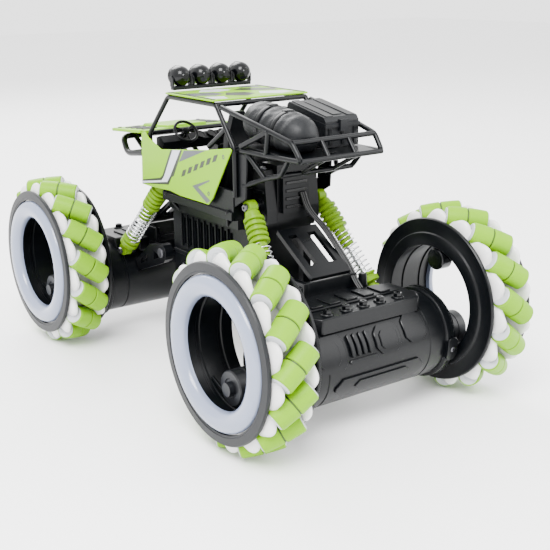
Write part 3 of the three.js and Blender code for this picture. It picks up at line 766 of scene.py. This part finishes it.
def cargo_bag():
    """Soft roll bag, flat underneath, with two straps, buckles and a zip."""
    a, b = Vector((15, 50, 171.6)), Vector((15, 84, 167.2))
    axis = (b - a).normalized()
    size = (b - a).length
    prof = [(0, -12.8)]
    for i in range(1, 9):
        t = math.pi / 2 * i / 8
        prof.append((12.6 * math.sin(t), -12.8 * math.cos(t)))
    n = 26
    for i in range(1, n):
        h = size * i / n
        crease = sum(0.55 * math.exp(-((h - size * t) / 1.1) ** 2) for t in STRAPS)
        prof.append((12.7 + 0.2 * math.sin(h * 0.5) - crease, h))
    for i in range(9):
        t = math.pi / 2 * (1 - i / 8)
        prof.append((12.6 * math.sin(t), size + 12.8 * math.cos(t)))
    verts, faces = turned_data(prof, a, axis, 72, False)
    flat = []
    for x, y, z in verts:
        floor = 160.6 - (y - 30) * 0.033
        wave = 0.25 * math.sin(y * 0.9 + x * 0.7) * math.sin(x * 0.55)
        flat.append((x + wave * 0.5, y, max(z + wave, floor)))
    o = make("bag_shell", flat, faces, BAG, "chassis", 60)
    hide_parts("cargo_bag")
    for n, t in enumerate(STRAPS):
        c = a + axis * size * t
        u = axis.cross(Vector((1, 0, 0))).normalized()
        loop = []
        for i in range(41):
            q = -0.2 + (math.pi + 0.4) * i / 40
            rise = u * (-1 if u.z < 0 else 1)
            loop.append(c + Vector((1, 0, 0)) * 12.75 * math.cos(q) + rise * 12.75 * math.sin(q))
        verts = []
        for p in loop:
            out = (p - c).normalized()
            for da, dr in ((-1.6, -0.3), (-1.6, 0.15), (-1.2, 0.3), (1.2, 0.3), (1.6, 0.15), (1.6, -0.3)):
                verts.append(tuple(p + axis * da + out * dr))
        make(f"bag_strap_{n}", verts, ring_faces(len(loop), 6), SATIN, "chassis", 40)
        block(f"bag_buckle_{n}", tuple(c + Vector((-3, -2.2, 12.0))), tuple(c + Vector((3, 2.2, 13.4))),
              GLOSS, "chassis", 0.4)
    pipes("bag_zip", [[tuple(a + axis * (-6) + Vector((-5, 0, 10.6))),
                       tuple(a + axis * 2 + Vector((-5, 0, 11.6))),
                       tuple(b - axis * 2 + Vector((-5, 0, 11.6))),
                       tuple(b + axis * 6 + Vector((-5, 0, 10.6)))]], 0.55,
          GLOSS, "chassis", 2)


cargo_bag()
for n, (x0, x1) in enumerate(((-27, -21.5), (-10.5, -5))):
    slab(f"box_rib_{n}", [(52, 182.6), (86, 176.3), (86, 177.1), (52, 183.6)], "x", x0, x1, BLACK,
         "chassis", 0.3)
slab("box_lid_pad", [(55, 182.3), (83, 177.0), (83, 177.6), (55, 182.9)], "x", -19.4, -12.4, BLACK,
     "chassis", 0.25)
for n, x in enumerate((-25.5, -16, -6.5)):
    slab(f"box_face_rib_{n}", [(x - 1.2, 160), (x + 1.2, 160), (x + 1.2, 170), (x - 1.2, 170)], "y", 87.6,
         88.7, BLACK,
         "chassis", 0.25)
for n, y in enumerate((58, 68, 78)):
    slab(f"box_side_rib_{n}", [(y - 1.2, 160.4), (y + 1.2, 160.4), (y + 1.2, 172), (y - 1.2, 172)], "x",
         -29.1, -28.2,
         BLACK, "chassis", 0.25)

# ---- chassis details ---------------------------------------------------------------------------

for side in (-1, 1):
    for n in range(9):
        y = -32 + n * 7.2
        slab(f"tub_fin_{side}_{n}", [(y - 2.6, 78), (y - 1.2, 78), (y - 1.2, 101), (y - 2.6, 101)], "x",
             side * 25.6 - 0.8,
             side * 25.6 + 0.8, SATIN, "chassis", 0.3)
    slab(f"tub_rail_{side}", [(-42, 72), (42, 72), (44, 75), (-44, 75)], "x", side * 25.6 - 1,
         side * 25.6 + 1, SATIN,
         "chassis", 0.4)
    slab(f"tub_plate_{side}", [(-30, 50), (30, 50), (36, 56), (36, 67), (-36, 67), (-36, 56)], "x",
         side * 25.4 - 1,
         side * 25.4 + 0.8, SATIN, "chassis", 0.5)
    for n, (y, z) in enumerate(((-33, 58), (33, 58), (-33, 64.5), (33, 64.5))):
        screw(f"tub_screw_{side}_{n}", (side * 26.0, y, z), (side, 0, 0), 1.5, SCREW, "chassis")
    slab(f"sill_{side}", [(-42, 111), (43, 111), (43, 116.5), (-42, 116.5)], "x", side * 34.4 - 0.7,
         side * 34.4 + 0.9,
         SATIN, "chassis", 0.4)
    pipes(f"sill_brace_{side}", [[(side * 35.6, -40, 117), (side * 29.6, -30, 105)],
                                 [(side * 35.6, 38, 117), (side * 29.6, 30, 105)]], 1.1, BLACK, "chassis")
    for sy in (-1, 1):
        cyl(f"shock_pin_{side}_{sy}", (side * 21.4, sy * 52, 120.7), (side * 23.8, sy * 52, 120.7), 2.2,
            SCREW, "chassis", 20)
        for n in range(3):
            slab(f"tower_rib_{side}_{sy}_{n}", [(sy * 46.5, 122 + n * 6.5), (sy * 57, 122 + n * 6.5),
                                                (sy * 57, 124 + n * 6.5), (sy * 46.5, 124 + n * 6.5)], "x",
                 side * 20.4 - 0.5, side * 20.4 + 0.5, BLACK, "chassis", 0.25)
        hex_bolt(f"tower_bolt_{side}_{sy}", (side * 16.4, sy * 51, 143), (0, 0, 1), 2.2, 1.4, SCREW,
                 "chassis")
for n in range(4):
    slab(f"box_vent_{n}", [(-8, 119 + n * 5), (8, 119 + n * 5), (8, 121 + n * 5), (-8, 121 + n * 5)], "y",
         62.8, 63.7,
         GLOSS, "chassis", 0.25)

# ---- wires from the electronics box down to the axles ---------------------------------------------


def wires(end):
    """Three thin wires from the electronics box down to the axle."""
    s = 1 if end == "rear" else -1
    for n, dx in enumerate((0, 1.7, 3.2)):
        run = [(s * (-6 + dx), s * 63.8, 128), (s * (-8 + dx), s * 66.5, 117),
               (s * (-16.6 + dx), s * 72, 106),
               (s * (-18.4 + dx), s * 84, 94), (s * (-19.5 + dx), s * 93, 85),
               (s * (-19.6 + dx), s * 100, 76),
               (s * (-20 + dx), s * 104, 72.4)]
        o = pipes(f"wire_{end}_{n}", [run], 0.75, RUBBER, None, 7, 3)
        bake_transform(o)


wires("rear")
wires("front")

# ---- CAD nodes that still show ----------------------------------------------------------------------

KEPT = {"chassis_tub": (SATIN, 1.0), "chassis_deck": (BLACK, 0.6), "cab_floor": (SATIN, 0.6),
        "dashboard": (SATIN, 0.6),
        "seat_left": (SATIN, 0.9), "seat_right": (SATIN, 0.9), "cargo_box": (BAG, 0.9),
        "electronics_box": (BLACK, 0.8),
        "link_arm_front": (BLACK, 0.5), "link_arm_rear": (BLACK, 0.5)}
for name, (mat, width) in KEPT.items():
    node = nodes[name]
    node.data.materials.clear()
    node.data.materials.append(mat)
    soften(node, width)

# ---- room ---------------------------------------------------------------------------------------------

bpy.ops.mesh.primitive_plane_add(size=8, location=(0, 0, 0))
floor = bpy.context.object
floor.name = "studio_floor"
floor.data.materials.append(surface("studio_white", (0.93, 0.93, 0.93), 0.7, vary=0.02))
world = bpy.context.scene.world or bpy.data.worlds.new("studio")
bpy.context.scene.world = world
world.use_nodes = True
back = world.node_tree.nodes["Background"]
back.inputs["Color"].default_value = (1, 1, 1, 1)
back.inputs["Strength"].default_value = 2.6


def area(name, at, size, power):
    """Soft lamp that faces the middle of the car."""
    light = bpy.data.lights.new(name, "AREA")
    light.size = size
    light.energy = power
    o = bpy.data.objects.new(name, light)
    bpy.context.scene.collection.objects.link(o)
    o.location = at
    o.rotation_euler = (Vector((0, 0, 0.08)) - Vector(at)).to_track_quat("-Z", "Y").to_euler()


area("key", (0.7, 0.7, 1.3), 0.8, 60)
area("fill", (-1.1, 0.9, 0.8), 1.1, 18)
area("rim", (-0.2, -1.2, 1.1), 0.9, 30)

camera = bpy.data.cameras.new("camera")
camera.sensor_width = 36
camera.lens = 66.86
camera.clip_start = 0.01
view = bpy.data.objects.new("camera", camera)
bpy.context.scene.collection.objects.link(view)
view.location = (0.3766, 0.5595, 0.2589)
view.rotation_euler = [math.radians(a) for a in (73.539, 0.507, 143.925)]
bpy.context.scene.camera = view
